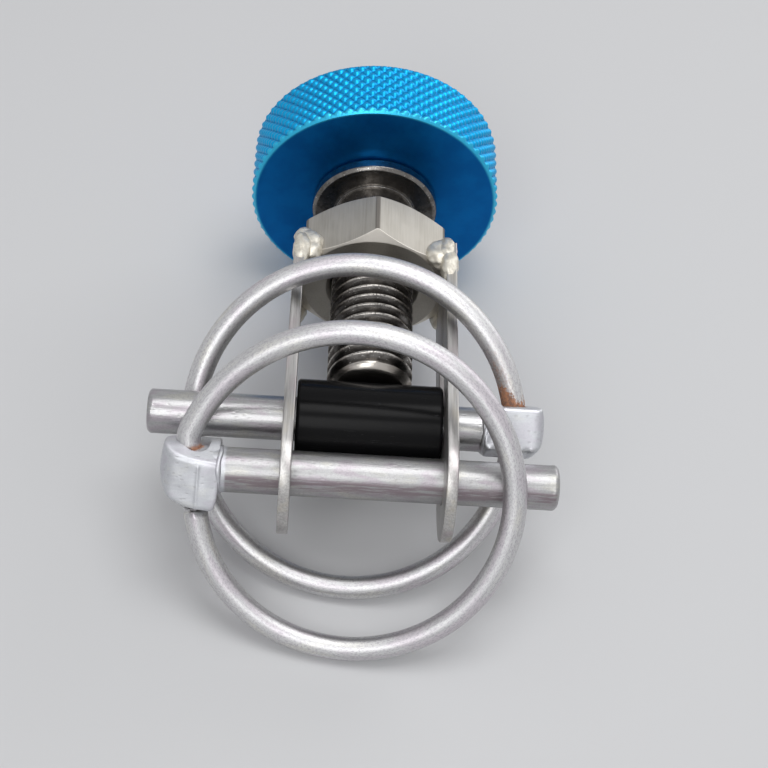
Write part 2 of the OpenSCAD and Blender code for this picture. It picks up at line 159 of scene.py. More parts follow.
def piece(name, grids, body, nodes, sharp=None, place=None, closed=True):
    """One object from grids of points in millimetres, each of rows x columns x 3. The first grid's
    columns wrap round if it is closed; those of the others always do. Points that coincide, as at
    a pole or a seam, are merged, and the faces are turned outwards. place, if given, holds for each
    grid a vector per point that materials read as path_place, in millimetres."""
    points, faces, first = [], [], 0
    for grid in grids:
        rows, cols = grid.shape[:2]
        points.append(grid.reshape(-1, 3))
        faces.append(grid_faces(rows, cols, closed or first > 0) + first)
        first += rows * cols
    points = (np.concatenate(points) + ZERO) * MM
    faces = np.concatenate(faces)
    mesh = bpy.data.meshes.new(name)
    mesh.vertices.add(len(points))
    mesh.vertices.foreach_set("co", points.astype(np.float32).ravel())
    mesh.loops.add(faces.size)
    mesh.loops.foreach_set("vertex_index", faces.astype(np.int32).ravel())
    mesh.polygons.add(len(faces))
    mesh.polygons.foreach_set("loop_start", np.arange(0, faces.size, 4, dtype=np.int32))
    mesh.update(calc_edges=True)
    if place is not None:
        values = np.concatenate([p.reshape(-1, 3) for p in place])
        attribute = mesh.attributes.new("path_place", "FLOAT_VECTOR", "POINT")
        attribute.data.foreach_set("vector", values.astype(np.float32).ravel())
    tidied = bmesh.new()
    tidied.from_mesh(mesh)
    bmesh.ops.remove_doubles(tidied, verts=tidied.verts, dist=1e-7)
    bmesh.ops.recalc_face_normals(tidied, faces=tidied.faces)
    tidied.to_mesh(mesh)
    tidied.free()
    mesh.validate()
    return dressed(name, mesh, body, nodes, sharp)


def dressed(name, mesh, body, nodes, sharp=None):
    """An object of a mesh that rides on a body and stands for CAD nodes."""
    mesh.shade_smooth()
    if sharp is not None:
        mesh.set_sharp_from_angle(angle=np.radians(sharp))
    item = bpy.data.objects.new(name, mesh)
    bpy.context.scene.collection.objects.link(item)
    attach(item, body)
    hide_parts(*nodes)
    return item


def softened(name, node, body, width):
    """A copy of a CAD node, merged, with flat faces joined and a rounded bevel along its edges."""
    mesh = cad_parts[node].data.copy()
    mesh.name = name
    work = bmesh.new()
    work.from_mesh(mesh)
    bmesh.ops.remove_doubles(work, verts=work.verts, dist=2e-6)
    bmesh.ops.dissolve_limit(
        work, angle_limit=np.radians(0.6), verts=work.verts, edges=work.edges,
        use_dissolve_boundaries=False,
    )
    work.to_mesh(mesh)
    work.free()
    mesh.materials.clear()
    item = dressed(name, mesh, body, [node])
    bevel = item.modifiers.new("edges", "BEVEL")
    bevel.width = width * MM
    bevel.segments = 3
    bevel.limit_method = "ANGLE"
    bevel.angle_limit = np.radians(28)
    bevel.use_clamp_overlap = True
    bevel.harden_normals = True
    return item


def eased(corners, fillet, steps=4):
    """An outline of (radius, along) corners, each rounded by a parabola between the points a fillet
    away on its two sides. A support point beyond each end keeps the flat parts flat when shaded."""
    support = 0.06
    corners = np.array(corners, float)
    out = [corners[0]]
    for before, here, after in zip(corners[:-2], corners[1:-1], corners[2:]):
        back, forth = before - here, after - here
        reach = min(fillet, 0.4 * np.linalg.norm(back), 0.4 * np.linalg.norm(forth))
        back, forth = back / np.linalg.norm(back), forth / np.linalg.norm(forth)
        start, end = here + back * reach, here + forth * reach
        out.append(start + back * min(support, reach))
        for t in np.linspace(0, 1, steps + 1):
            out.append((1 - t) ** 2 * start + 2 * t * (1 - t) * here + t**2 * end)
        out.append(end + forth * min(support, reach))
    out.append(corners[-1])
    return np.array(out)


def about_spindle(radius, along, angle):
    """Points round the spindle's axis: the angle is 0 at the top and grows towards +x."""
    return np.stack([radius * np.sin(angle), along + 0 * angle, radius * np.cos(angle)], -1)


def revolved_on_spindle(profile, around):
    """The surface of a profile of (radius, along) turned about the spindle's axis."""
    angle = np.linspace(0, 2 * np.pi, around, endpoint=False)[None, :]
    return about_spindle(profile[:, :1], profile[:, 1:], angle)


def revolved_on_pins(profile, around, s):
    """The surface of a profile of (radius, along) turned about an axis along x at the given s."""
    angle = np.linspace(0, 2 * np.pi, around, endpoint=False)[None, :]
    radius, along = profile[:, :1], profile[:, 1:]
    return np.stack([along + 0 * angle, s + radius * np.sin(angle), radius * np.cos(angle)], -1)


def steps_between(a, b, step):
    """Evenly spaced values from a to b, about one step apart, both ends included."""
    return np.linspace(a, b, max(2, int(np.ceil(abs(b - a) / step)) + 1))


# ---------------------------------------------------------------- knob


def knurled_knob():
    """Two families of crossing grooves cut the drum's wall. In groove counts u and v, which grow
    with the sum and the difference of the turn and the height, the wall stands out by the product
    of |cos(pi u)| and |cos(pi v)| to the power PIP_POWER, so pips are round on top and grooves are
    sharp. A cone at 45 degrees trims the wall at both rims, which leaves a scalloped edge."""
    around, thick, inset = KNURL_AROUND * 6, KNOB_FAR - KNOB_NEAR, 0.02
    angle = np.linspace(0, 2 * np.pi, around, endpoint=False)[None, :]
    height = steps_between(inset, thick - inset, 0.14)[:, None]
    turn = angle * KNURL_AROUND / (2 * np.pi)
    rise = (height - KNOB_EDGE) * KNURL_ROWS / (thick - 2 * KNOB_EDGE)
    crossing = np.cos(np.pi * (turn + rise) / 2) * np.cos(np.pi * (turn - rise) / 2)
    wall = KNOB_R - KNURL_DEPTH * (1 - np.abs(crossing) ** PIP_POWER)
    cone_r = KNOB_R - KNOB_EDGE + 0.12
    wall = np.minimum(wall, cone_r + np.minimum(height, thick - height))
    knurl = about_spindle(wall, KNOB_NEAR + height, angle)
    face_r, rim_r = KNOB_R - KNOB_EDGE - 0.2, cone_r + inset
    front = eased([(KNOB_BORE_R, SCREW_SEAT), (KNOB_BORE_R, KNOB_NEAR), (face_r, KNOB_NEAR),
                   (rim_r, KNOB_NEAR + inset)], 0.08)
    back = eased([(rim_r, KNOB_FAR - inset), (face_r, KNOB_FAR), (COUNTERBORE_R, KNOB_FAR),
                  (COUNTERBORE_R, SCREW_SEAT), (KNOB_BORE_R, SCREW_SEAT)], 0.1)
    drum = np.concatenate([
        revolved_on_spindle(front[:-1], around), knurl, revolved_on_spindle(back[1:], around)
    ])
    return piece("knurled_knob", [drum], "spindle", ["knob"], sharp=40)


# ---------------------------------------------------------------- spindle


def thread_lines():
    """The corners of one rib and groove in cross-section, from crest to crest: how far along as a
    share of the pitch, and how deep as a share of the thread's depth."""
    return np.array([
        (-0.10, 0.06), (-0.06, 0.0), (0.06, 0.0), (0.10, 0.06), (0.26, 0.48), (0.41, 0.92),
        (0.46, 1.0), (0.54, 1.0), (0.59, 0.92), (0.74, 0.48),
    ])


def threaded_spindle():
    """Each line of the thread's cross-section runs on as a right-hand helix: it climbs one pitch a
    turn from a crest at the top. Grooves fade at the shank and a cone trims the tip. Past both ends
    the radius shrinks to the axis. Shank, collar and spigot are a turned profile."""
    share, depth = thread_lines().T
    steps, turns = 96, int(np.ceil((THREAD_END - SPINDLE_TIP) / THREAD_PITCH)) + 4
    start = THREAD_CREST_AT - 3 * THREAD_PITCH
    turn = np.arange(steps + 1) / steps
    crests = (start + THREAD_PITCH * (np.arange(turns)[:, None] + share)).reshape(-1, 1)
    along = crests + THREAD_PITCH * turn
    fade = np.clip((THREAD_END - along) / THREAD_RUNOUT, 0, 1)
    groove = np.tile(depth, turns)[:, None] * THREAD_DEPTH * fade
    tip_cone = THREAD_R - TIP_BEVEL + np.maximum(along - SPINDLE_TIP, 0) * TIP_SLOPE
    shank_cone = SHANK_R - 0.1 + np.maximum(THREAD_END - along, 0)
    radius = np.minimum(np.minimum(THREAD_R - groove, tip_cone), shank_cone)
    last = THREAD_END + 0.4
    past = np.maximum(SPINDLE_TIP - along, along - last)
    radius = radius * (1 - np.clip(past / (THREAD_PITCH * 0.8), 0, 1))
    along = np.clip(along, SPINDLE_TIP, last)
    thread = about_spindle(radius, along, 2 * np.pi * turn[None, :])
    collar_far, spigot_far = KNOB_NEAR - 0.02, SCREW_SEAT - 0.1
    rest = eased([
        (0.0, THREAD_END), (SHANK_R, THREAD_END), (SHANK_R, COLLAR_NEAR),
        (COLLAR_R - COLLAR_BEVEL, COLLAR_NEAR), (COLLAR_R, COLLAR_NEAR + COLLAR_BEVEL),
        (COLLAR_R, KNOB_NEAR - 0.35), (COLLAR_R - 0.35, collar_far), (SPIGOT_R, collar_far),
        (SPIGOT_R, spigot_far), (SCREW_HOLE_R, spigot_far), (SCREW_HOLE_R, KNOB_NEAR),
        (0.0, KNOB_NEAR),
    ], 0.16)
    return piece("threaded_spindle", [thread, revolved_on_spindle(rest, 144)], "spindle",
                 ["spindle"], sharp=50, closed=False)


# ---------------------------------------------------------------- nut


def hex_nut():
    """The radius at each turn is that of a hexagon with a corner up and slightly rounded corners,
    trimmed at both ends by a 30 degree cone. The bore has a countersink at each mouth."""
    around, fine_end, inner_end = 720, 1.5, 1.6
    angle = np.linspace(0, 2 * np.pi, around, endpoint=False)[None, :]
    along = np.concatenate([
        steps_between(NUT_NEAR, NUT_NEAR + fine_end, 0.05),
        steps_between(NUT_NEAR + inner_end, NUT_FAR - inner_end, 0.4),
        steps_between(NUT_FAR - fine_end, NUT_FAR, 0.05),
    ])[:, None]
    from_corner = np.abs((angle + np.pi / 6) % (np.pi / 3) - np.pi / 6)
    hexagon = np.minimum(HALF_GAP / np.cos(np.pi / 6 - from_corner), NUT_CORNER_R - 0.12)
    from_end = np.minimum(along - NUT_NEAR, NUT_FAR - along)
    radius = np.minimum(hexagon + 0 * along, NUT_FACE_R + from_end * NUT_CONE_SLOPE)
    outside = about_spindle(radius, along, angle)
    mouth_r, bore_middle = NUT_BORE_R + COUNTERSINK, NUT_NEAR + 4
    near = eased([(NUT_BORE_R, bore_middle), (NUT_BORE_R, NUT_NEAR + COUNTERSINK),
                  (mouth_r, NUT_NEAR), (NUT_FACE_R, NUT_NEAR)], 0.1)
    far = eased([(NUT_FACE_R, NUT_FAR), (mouth_r, NUT_FAR), (NUT_BORE_R, NUT_FAR - COUNTERSINK),
                 (NUT_BORE_R, bore_middle)], 0.1)
    solid = np.concatenate([
        revolved_on_spindle(near[:-1], around), outside, revolved_on_spindle(far[1:], around)
    ])
    return piece("hex_nut", [solid], "frame", ["nut"], sharp=14)


# ---------------------------------------------------------------- welds


def weld_lump(middle, radii, seed):
    """An ellipsoid whose radius swells and shrinks by four sine waves of the place on it."""
    wave = np.random.default_rng(seed).uniform(0, 2 * np.pi, 4)
    t = np.linspace(0, np.pi, 48)[:, None]
    a = np.linspace(0, 2 * np.pi, 64, endpoint=False)[None, :]
    way = np.stack([np.sin(t) * np.cos(a), np.cos(t) + 0 * a, np.sin(t) * np.sin(a)], -1)
    x, y, z = np.moveaxis(way, -1, 0)
    swell = (
        1 + 0.06 * np.sin(4.2 * y + 2.0 * x + wave[0]) + 0.04 * np.sin(5.1 * z - 3.3 * x + wave[1])
        + 0.022 * np.sin(9 * y + 4 * z + wave[2]) + 0.014 * np.sin(12 * x + 7 * y + wave[3])
    )
    return np.array(middle) + way * np.array(radii) * swell[..., None]


def weld_beads(name, node, lumps):
    """The lumps of one plate's two welds: place and radii of each."""
    return piece(name, [weld_lump(*lump, seed=i + len(name)) for i, lump in enumerate(lumps)],
                 "frame", [node])


# ---------------------------------------------------------------- rings


def arc(center, radius, start, end, step=2.0):
    """Points of an arc in the plane of (x, z), with angles in degrees from +x towards +z."""
    a = np.radians(steps_between(start, end, step))
    return np.stack([center[0] + radius * np.cos(a), center[1] + radius * np.sin(a)], -1)


def ring_end(radius, center, mouth, start):
    """The wire from the round part's angle to its end in the hole: a shoulder of another radius
    that is tangent to the round part and to the tight bend, then the bend, then a straight stub."""
    run, rise, inner = center[0] - END_BEND, mouth - center[1], radius - END_BEND
    c, s = np.cos(np.radians(start)), np.sin(np.radians(start))
    extra = (run**2 + rise**2 - inner**2) / (2 * (inner + run * c - rise * s))
    shoulder = (center[0] - extra * c, center[1] - extra * s)
    turn = np.degrees(np.arctan2(mouth - shoulder[1], shoulder[0] - END_BEND))
    stub = steps_between(mouth, HOLE_GAP, 0.5)
    return np.concatenate([
        arc(shoulder, radius + extra, start, 180 - turn)[1:],
        arc((END_BEND, mouth), END_BEND, 180 - turn, 180, 8)[1:],
        np.stack([0 * stub, stub], -1)[1:],
    ])


def ring_path(ring, lean, up, down):
    """The whole wire's middle line in the ring's plane, from its lower end to its upper one."""
    radius, x, z = ring[:3]
    mouth_up = up / np.cos(np.radians(lean)) + TOUCH_GAP
    mouth_down = down / np.cos(np.radians(lean)) + TOUCH_GAP
    upper = ring_end(radius, (x, z), mouth_up, SHOULDER_UP)
    lower = ring_end(radius, (x, -z), mouth_down, SHOULDER_DOWN) * [1, -1]
    return np.concatenate([lower[::-1], arc((x, z), radius, -SHOULDER_DOWN, SHOULDER_UP), upper])


def wire(path, around=40, end_ease=0.25):
    """A round wire along a flat path. Each cross-section is a circle square to the path; the last
    ones shrink along a quarter circle, so that both ends are closed and rounded."""
    run = np.concatenate([[0], np.cumsum(np.linalg.norm(np.diff(path, axis=0), axis=1))])
    ease = np.linspace(0, 1, 6)[:-1]
    inner = run[(run > end_ease) & (run < run[-1] - end_ease)]
    spots = np.concatenate([ease * end_ease, inner, run[-1] - ease[::-1] * end_ease])
    flat = np.stack([np.interp(spots, run, path[:, i]) for i in range(2)], -1)
    ahead = np.gradient(flat, spots, axis=0)
    ahead /= np.linalg.norm(ahead, axis=1, keepdims=True)
    left = np.minimum(spots, run[-1] - spots) / end_ease
    radius = WIRE_R - end_ease * (1 - np.sqrt(1 - (1 - np.clip(left, 0, 1)) ** 2))
    radius[[0, -1]] = 0
    turn = np.linspace(0, 2 * np.pi, around, endpoint=False)
    across = radius[:, None] * np.cos(turn)[None, :]
    aside = radius[:, None] * np.sin(turn)[None, :]
    x = flat[:, :1] - ahead[:, 1:] * across
    z = flat[:, 1:] + ahead[:, :1] * across
    points = np.stack([x, aside, z], -1)
    place = np.stack([spots[:, None] + 0 * across, across, aside], -1)
    return points, place


def front_placed(points):
    """From the front ring's own plane to its place."""
    points = turned(turned(points, "z", -FRONT_RING[3]), "y", -FRONT_HOLE_LEAN)
    return turned(points - [FRONT_HOLE, 0, 0], "x", -FRONT_LEAN)


def rear_placed(points):
    """From the rear ring's own plane to its place."""
    points = turned(points, "z", 180 + REAR_RING[3]) + [REAR_HOLE, 0, 0]
    return turned(points, "x", -REAR_LEAN) + [0, JAW_AT, 0]


def spring_rings():
    """Both rings, each with its place along the wire kept for its material."""
    made = []
    for name, node, ring, lean, up, down, placed in (
        ("front_spring_ring", "front_ring", FRONT_RING, FRONT_HOLE_LEAN, FRONT_UP, FRONT_DOWN,
         front_placed),
        ("rear_spring_ring", "rear_ring", REAR_RING, 0.0, REAR_HALF, REAR_HALF, rear_placed),
    ):
        points, place = wire(ring_path(ring, lean, up, down))
        made.append(piece(name, [placed(points)], node, [node], place=[place]))
    return made


# ---------------------------------------------------------------- sleeve


def jaw_sleeve():
    """A turned tube with broken edges."""
    edge = 0.3
    profile = eased([
        (SLEEVE_BORE_R, 0.0), (SLEEVE_BORE_R, -SLEEVE_HALF), (SLEEVE_R - edge, -SLEEVE_HALF),
        (SLEEVE_R, -SLEEVE_HALF + edge), (SLEEVE_R, SLEEVE_HALF - edge),
        (SLEEVE_R - edge, SLEEVE_HALF),
        (SLEEVE_BORE_R, SLEEVE_HALF), (SLEEVE_BORE_R, 0.0),
    ], 0.15)
    return piece("black_sleeve", [revolved_on_pins(profile, 128, JAW_AT)], "jaw", ["jaw_sleeve"],
                 sharp=35)


# ---------------------------------------------------------------- linch pins

# Flat sides of each head: the way each faces, along the pin, across it and up its hole, and how
# far it is from the middle of the hole
FRONT_HEAD_SIDES = [
    (-0.983, 0, 0.186, 4.27), (-0.997, 0, -0.07, 4.2), (-0.894, 0, -0.447, 4.38),
    (-0.514, 0, -0.857, 4.56), (-0.222, 0, -0.975, 4.75), (-0.095, 0, -0.995, 4.98),
    (1, 0, 0, 3.8), (0.957, 0, -0.291, 4.5), (0, 0, 1, 3.7),
    (0.10, -0.995, 0, 3.45), (-0.16, -0.985, -0.04, 3.16), (-0.5, -0.866, 0, 3.61),
    (-0.85, -0.52, 0, 3.89), (0.144, -0.583, 0.80, 3.36), (0, -0.6, -0.8, 5.84),
    (0, 1, 0, 3.4), (0, 0.707, 0.707, 4.45), (0, 0.6, -0.8, 5.84), (-0.5, 0.866, 0, 3.61),
    (-0.85, 0.52, 0, 3.89),
]
REAR_HEAD_SIDES = [
    (0, -1, 0, 3.4), (0, -0.64, -0.77, 3.98), (0, -0.707, 0.707, 4.67), (0, 0, -1, 3.5),
    (0, 0, 1, 3.5), (0.995, 0, -0.1, 4.12), (0.98, 0, 0.2, 4.44), (0.75, 0, -0.66, 4.10),
    (0.75, -0.66, 0, 4.84), (0, 1, 0, 3.4), (0, 0.707, -0.707, 4.6), (0, 0.707, 0.707, 4.6),
    (0.75, 0.66, 0, 4.84), (-1, 0, 0, 3.95),
]


def pressed_head(sides, power=26, rows=120, around=168):
    """In each direction from the middle, the parts of the direction along the sides' normals, each
    over its side's distance, are raised to a power and summed. The surface lies at that sum to the
    power of minus one over the same power, so flat sides meet in soft edges."""
    t = np.linspace(0, np.pi, rows)[:, None]
    a = np.linspace(0, 2 * np.pi, around, endpoint=False)[None, :]
    way = np.stack([np.cos(t) + 0 * a, np.sin(t) * np.cos(a), np.sin(t) * np.sin(a)], -1)
    total = 0
    for *normal, distance in sides:
        toward = way @ (np.array(normal) / np.linalg.norm(normal))
        total = total + np.maximum(toward / distance, 0) ** power
    return way * (total ** (-1 / power))[..., None]


def smooth(value):
    """A smooth step from 0 to 1 over the value's range from 0 to 1."""
    value = np.clip(value, 0, 1)
    return value * value * (3 - 2 * value)


def with_ring_hole(points, lean, mouth_r):
    """Points of a head near its hole's axis sink towards the middle by up to CUP_DEPTH, on a smooth
    step of their distance from the axis, which leaves a cup round the wire."""
    axis = np.array([np.sin(np.radians(lean)), 0, np.cos(np.radians(lean))])
    along = points @ axis
    aside = np.linalg.norm(points - along[..., None] * axis, axis=-1)
    depth = CUP_DEPTH * smooth((mouth_r + 0.2 - aside) / 0.35) * (np.abs(along) > 2.2)
    return points - (np.sign(along) * depth)[..., None] * axis


def neck_lip(x, radius, thick, skew, seed, around=96, across=20):
    """A ring of squeezed-out metal round the pin: a small circle carried round a large one, whose
    thickness and place along the pin swell and shrink by sine waves of the turn."""
    wave = np.random.default_rng(seed).uniform(0, 2 * np.pi, 3)
    turn = np.linspace(0, 2 * np.pi, around, endpoint=False)[:, None]
    small = np.linspace(0, 2 * np.pi, across, endpoint=False)[None, :]
    r = thick * (1 + 0.18 * np.sin(3 * turn + wave[0]) + 0.12 * np.sin(7 * turn + wave[1]))
    middle = x + skew * np.sin(turn + 0.6) + 0.1 * np.sin(4 * turn + wave[2])
    out = radius + r * np.cos(small)
    return np.stack([middle + r * np.sin(small), out * np.sin(turn), out * np.cos(turn)], -1)


def pin_shank(start, end, lip):
    """A round pin from inside its head to its free end, where a faint burr of two sine waves of the
    turn stands round the rim."""
    side = np.sign(end - start)
    far = abs(end - start)
    bevel = 0.45
    profile = eased([(0, 0), (PIN_R, 0), (PIN_R, far - 1.5), (PIN_R + lip, far - bevel),
                     (PIN_R - bevel, far), (0, far)], 0.3, steps=6)
    angle = np.linspace(0, 2 * np.pi, 128, endpoint=False)[None, :]
    radius, along = profile[:, :1], profile[:, 1:]
    burr = 0.03 * np.sin(3 * angle) + 0.02 * np.sin(8 * angle + 1)
    radius = radius + smooth((along - far + 0.9) / 0.5) * burr * (radius > 1)
    x = start + side * along + 0 * angle
    return np.stack([x, radius * np.sin(angle), radius * np.cos(angle)], -1)


def front_linch_pin():
    """The pin and its pressed head. On the head's front a flash line runs down as a bell curve of
    the place along the pin, a crease under its top as one of the place up the hole, and sine waves
    dent it."""
    head = pressed_head(FRONT_HEAD_SIDES)
    x, y, z = np.moveaxis(head, -1, 0)
    facing = smooth((-y - 2.2) / 0.5)
    flash = 0.11 * np.exp(-((x - 1.0 - 0.03 * z) / 0.2) ** 2) * smooth((1.4 - z) / 0.6)
    crease = 0.10 * np.exp(-((z - 1.75 + 0.17 * x) / 0.17) ** 2) * smooth((x + 2.6) / 1.2)
    dents = 0.03 * np.sin(1.9 * x + 0.7 * z) * np.sin(1.3 * z - 0.8 * x)
    head = head + np.stack([0 * x, -facing * (flash - crease + dents), 0 * x], -1)
    head = with_ring_hole(head, FRONT_HOLE_LEAN, WIRE_R + 0.12)
    parts = [head, pin_shank(0.0, FRONT_HOLE + FRONT_TIP, lip=0.04),
             neck_lip(x=3.75, radius=2.95, thick=0.34, skew=0.12, seed=5)]
    parts = [turned(part - [FRONT_HOLE, 0, 0], "x", -FRONT_LEAN) for part in parts]
    return piece("front_linch_pin", parts, "front_pin", ["front_pin"], sharp=60)


def rear_linch_pin():
    """The pin and its head, pressed nearly square. Products of sine waves roughen the head's front
    near the pin and its lower edge, and two lips stand where the two meet."""
    head = pressed_head(REAR_HEAD_SIDES)
    x, y, z = np.moveaxis(head, -1, 0)
    facing = smooth((-y - 2.2) / 0.5)
    rough = smooth((-x - 1.6) / 1.6) * 0.12 * np.sin(3.1 * x + 1.0) * np.sin(2.3 * z + 0.6)
    edge = smooth((-z - 1.7) / 0.5) * 0.06 * np.sin(4.3 * x)
    head = head + np.stack([0 * x, facing * (rough + edge), 0 * x], -1)
    head = with_ring_hole(head, 0.0, WIRE_R + 0.1)
    parts = [head, pin_shank(0.0, -REAR_HOLE - REAR_TIP, lip=0.0),
             neck_lip(x=-4.0, radius=2.95, thick=0.36, skew=-0.3, seed=9),
             neck_lip(x=-3.6, radius=3.0, thick=0.42, skew=0.25, seed=12)]
    parts = [turned(part + [REAR_HOLE, 0, 0], "x", -REAR_LEAN) + [0, JAW_AT, 0] for part in parts]
    return piece("rear_linch_pin", parts, "rear_pin", ["rear_pin"], sharp=60)


# ---------------------------------------------------------------- materials


class Value:
    """A node's output, with arithmetic that adds Math nodes."""

    def __init__(self, nodes, socket):
        self.nodes, self.socket = nodes, socket

    def __add__(self, other):
        return self.nodes.math("ADD", self, other)

    def __sub__(self, other):
        return self.nodes.math("SUBTRACT", self, other)

    def __rsub__(self, other):
        return self.nodes.math("SUBTRACT", other, self)

    def __mul__(self, other):
        return self.nodes.math("MULTIPLY", self, other)

    __radd__, __rmul__ = __add__, __mul__

    def over(self, low, high):
        """0 below low and 1 above high, with a smooth step between; low may be the larger."""
        return self.nodes.node(
            "ShaderNodeMapRange", {"interpolation_type": "SMOOTHSTEP"},
            {"Value": self, "From Min": low, "From Max": high, "To Min": 0.0, "To Max": 1.0},
        )

    def most(self, other):
        """The larger of two outputs."""
        return self.nodes.math("MAXIMUM", self, other)


class Nodes:
    """A tree of nodes being made."""

    def __init__(self, tree):
        self.tree = tree

    def node(self, kind, settings, sockets, output=0):
        """Any node: its type, its settings, then the values or links of its sockets."""
        made = self.tree.nodes.new(kind)
        for key, value in settings.items():
            setattr(made, key, value)
        for key, value in sockets.items():
            self.feed(made.inputs[key], value)
        return Value(self, made.outputs[output])

    def feed(self, socket, value):
        """Links an output to a socket, or sets the socket's number, vector or colour."""
        if isinstance(value, Value):
            self.tree.links.new(value.socket, socket)
        elif hasattr(value, "__len__") and len(value) == 3 and socket.type == "RGBA":
            socket.default_value = (*value, 1.0)
        else:
            socket.default_value = value

    def math(self, operation, first, second):
        """A Math node of two numbers or outputs."""
        return self.node("ShaderNodeMath", {"operation": operation}, {0: first, 1: second})


class Paint(Nodes):
    """A material being made for one finish."""

    def __init__(self, name):
        self.material = bpy.data.materials.new(name)
        self.material.use_nodes = True
        super().__init__(self.material.node_tree)
        self.shader = self.tree.nodes["Principled BSDF"]

    def place(self, scale=(1, 1, 1), zero=(0, 0, 0)):
        """Place on the object in millimetres from a zero, each axis times its scale."""
        found = self.node("ShaderNodeTexCoord", {}, {}, "Object")
        metres = [ZERO[i] * MM + zero[i] * MM for i in range(3)]
        moved = self.node("ShaderNodeVectorMath", {"operation": "SUBTRACT"}, {0: found, 1: metres})
        return self.node("ShaderNodeVectorMath", {"operation": "MULTIPLY"},
                         {0: moved, 1: [v / MM for v in scale]})

    def path_place(self, scale=(1, 1, 1)):
        """Place along and across a wire in millimetres, each times its scale."""
        kept = self.node("ShaderNodeAttribute", {"attribute_name": "path_place"}, {}, "Vector")
        return self.node("ShaderNodeVectorMath", {"operation": "MULTIPLY"}, {0: kept, 1: scale})

    def part(self, vector, axis):
        """A vector's part along the axis of the given number."""
        return self.node("ShaderNodeSeparateXYZ", {}, {"Vector": vector}, axis)

    def length(self, vector):
        """A vector's length."""
        return self.node("ShaderNodeVectorMath", {"operation": "LENGTH"}, {0: vector}, "Value")

    def from_axis(self):
        """Distance in millimetres from the spindle's axis."""
        return self.length(self.place((1, 0, 1)))

    def noise(self, vector, scale=1.0, detail=3.0, rough=0.5, distort=0.0):
        """Soft random values round one half."""
        return self.node("ShaderNodeTexNoise", {}, {
            "Vector": vector, "Scale": scale, "Detail": detail, "Roughness": rough,
            "Distortion": distort,
        })

    def cells(self, vector, scale):
        """Distance to the nearest of many scattered points."""
        return self.node("ShaderNodeTexVoronoi", {}, {"Vector": vector, "Scale": scale})

    def mix(self, amount, a, b):
        """Colour a where the amount is 0 and colour b where it is 1."""
        return self.node("ShaderNodeMix", {"data_type": "RGBA"}, {0: amount, 6: a, 7: b}, 2)

    def bump(self, height, depth):
        """A bump whose height of 1 stands out by a depth in millimetres."""
        return self.node("ShaderNodeBump", {},
                         {"Height": height, "Distance": depth * MM, "Strength": 1.0})

    def finish(self, **sockets):
        """Sets the shader's sockets, named with _ for each space, and gives the material."""
        for key, value in sockets.items():
            self.feed(self.shader.inputs[key.replace("_", " ")], value)
        return self.material


def rust_colour(paint, vector):
    """Orange to brown rust in small flecks."""
    flecks = paint.noise(vector, 2.2, 4)
    return paint.mix(flecks.over(0.35, 0.65), (0.50, 0.19, 0.06), (0.22, 0.085, 0.035))


def plate_finish():
    """Satin stainless sheet with long rolling marks and faint brown and violet heat tints."""
    p = Paint("plate_satin_steel")
    lines = p.noise(p.place((3.0, 0.12, 3.0)), 1.6, 5, 0.6)
    tint = p.noise(p.place((0.5, 0.16, 0.5)), 1.0, 2)
    specks = p.noise(p.place(), 3.5, 3, 0.7)
    colour = p.mix(lines.over(0.3, 0.7), (0.38, 0.37, 0.36), (0.56, 0.55, 0.535))
    colour = p.mix(tint.over(0.5, 0.68) * 0.45, colour, (0.47, 0.40, 0.42))
    colour = p.mix(tint.over(0.45, 0.3) * 0.35, colour, (0.56, 0.51, 0.41))
    colour = p.mix(specks.over(0.62, 0.75) * 0.35, colour, (0.30, 0.28, 0.26))
    return p.finish(
        Base_Color=colour, Metallic=1.0, Roughness=0.3 + lines * 0.16,
        Normal=p.bump(lines * 0.6 + specks * 0.4, 0.02),
    )


def nut_finish():
    """Stainless steel, a little warm, drawn along the nut, with a painted dark line of shade at
    each corner and a painted highlight on the cone round the near face."""
    p = Paint("nut_satin_steel")
    lines = p.noise(p.place((2.6, 0.1, 2.6)), 1.5, 4, 0.6)
    broad = p.noise(p.place((0.35, 0.2, 0.35)), 1.0, 2)
    radius = p.from_axis()
    # Painted shade: a dark line along each rounded corner of the hexagon.
    corner = radius.over(NUT_CORNER_R - 0.24, NUT_CORNER_R - 0.14)
    colour = p.mix(lines.over(0.3, 0.7), (0.375, 0.352, 0.31), (0.45, 0.425, 0.38))
    colour = p.mix(broad.over(0.4, 0.65) * 0.4, colour, (0.50, 0.475, 0.43))
    colour = p.mix(corner * 0.8, colour, (0.15, 0.135, 0.12))
    # Painted highlight: the cone round the near face is made pale cream.
    past_cone = (p.part(p.place(), 1) - NUT_NEAR) * NUT_CONE_SLOPE - radius + NUT_FACE_R
    cone = past_cone.over(0.3, 0.08) * radius.over(HALF_GAP - 0.35, HALF_GAP - 0.1)
    colour = p.mix(cone * 0.8, colour, (0.80, 0.76, 0.69))
    return p.finish(
        Base_Color=colour, Metallic=1.0, Roughness=0.42 + lines * 0.12,
        Normal=p.bump(lines, 0.012),
    )


def weld_finish():
    """Dull silver weld metal with frozen ripples, cream oxide and a few dark pits."""
    p = Paint("weld_dull_silver")
    place = p.place()
    lumps = p.noise(place, 0.9, 4, 0.6, 0.6)
    ripple = p.noise(p.place((1.2, 2.6, 1.2)), 1.0, 2, 0.5, 1.2)
    pits = p.cells(place, 0.55).over(0.16, 0.05)
    colour = p.mix(lumps.over(0.35, 0.7), (0.60, 0.56, 0.48), (0.80, 0.765, 0.68))
    colour = p.mix(pits * 0.85, colour, (0.30, 0.25, 0.08))
    return p.finish(
        Base_Color=colour, Metallic=0.75, Roughness=0.36 + lumps * 0.2,
        Normal=p.bump(lumps * 0.5 + ripple * 0.5 - pits * 0.7, 0.09),
    )


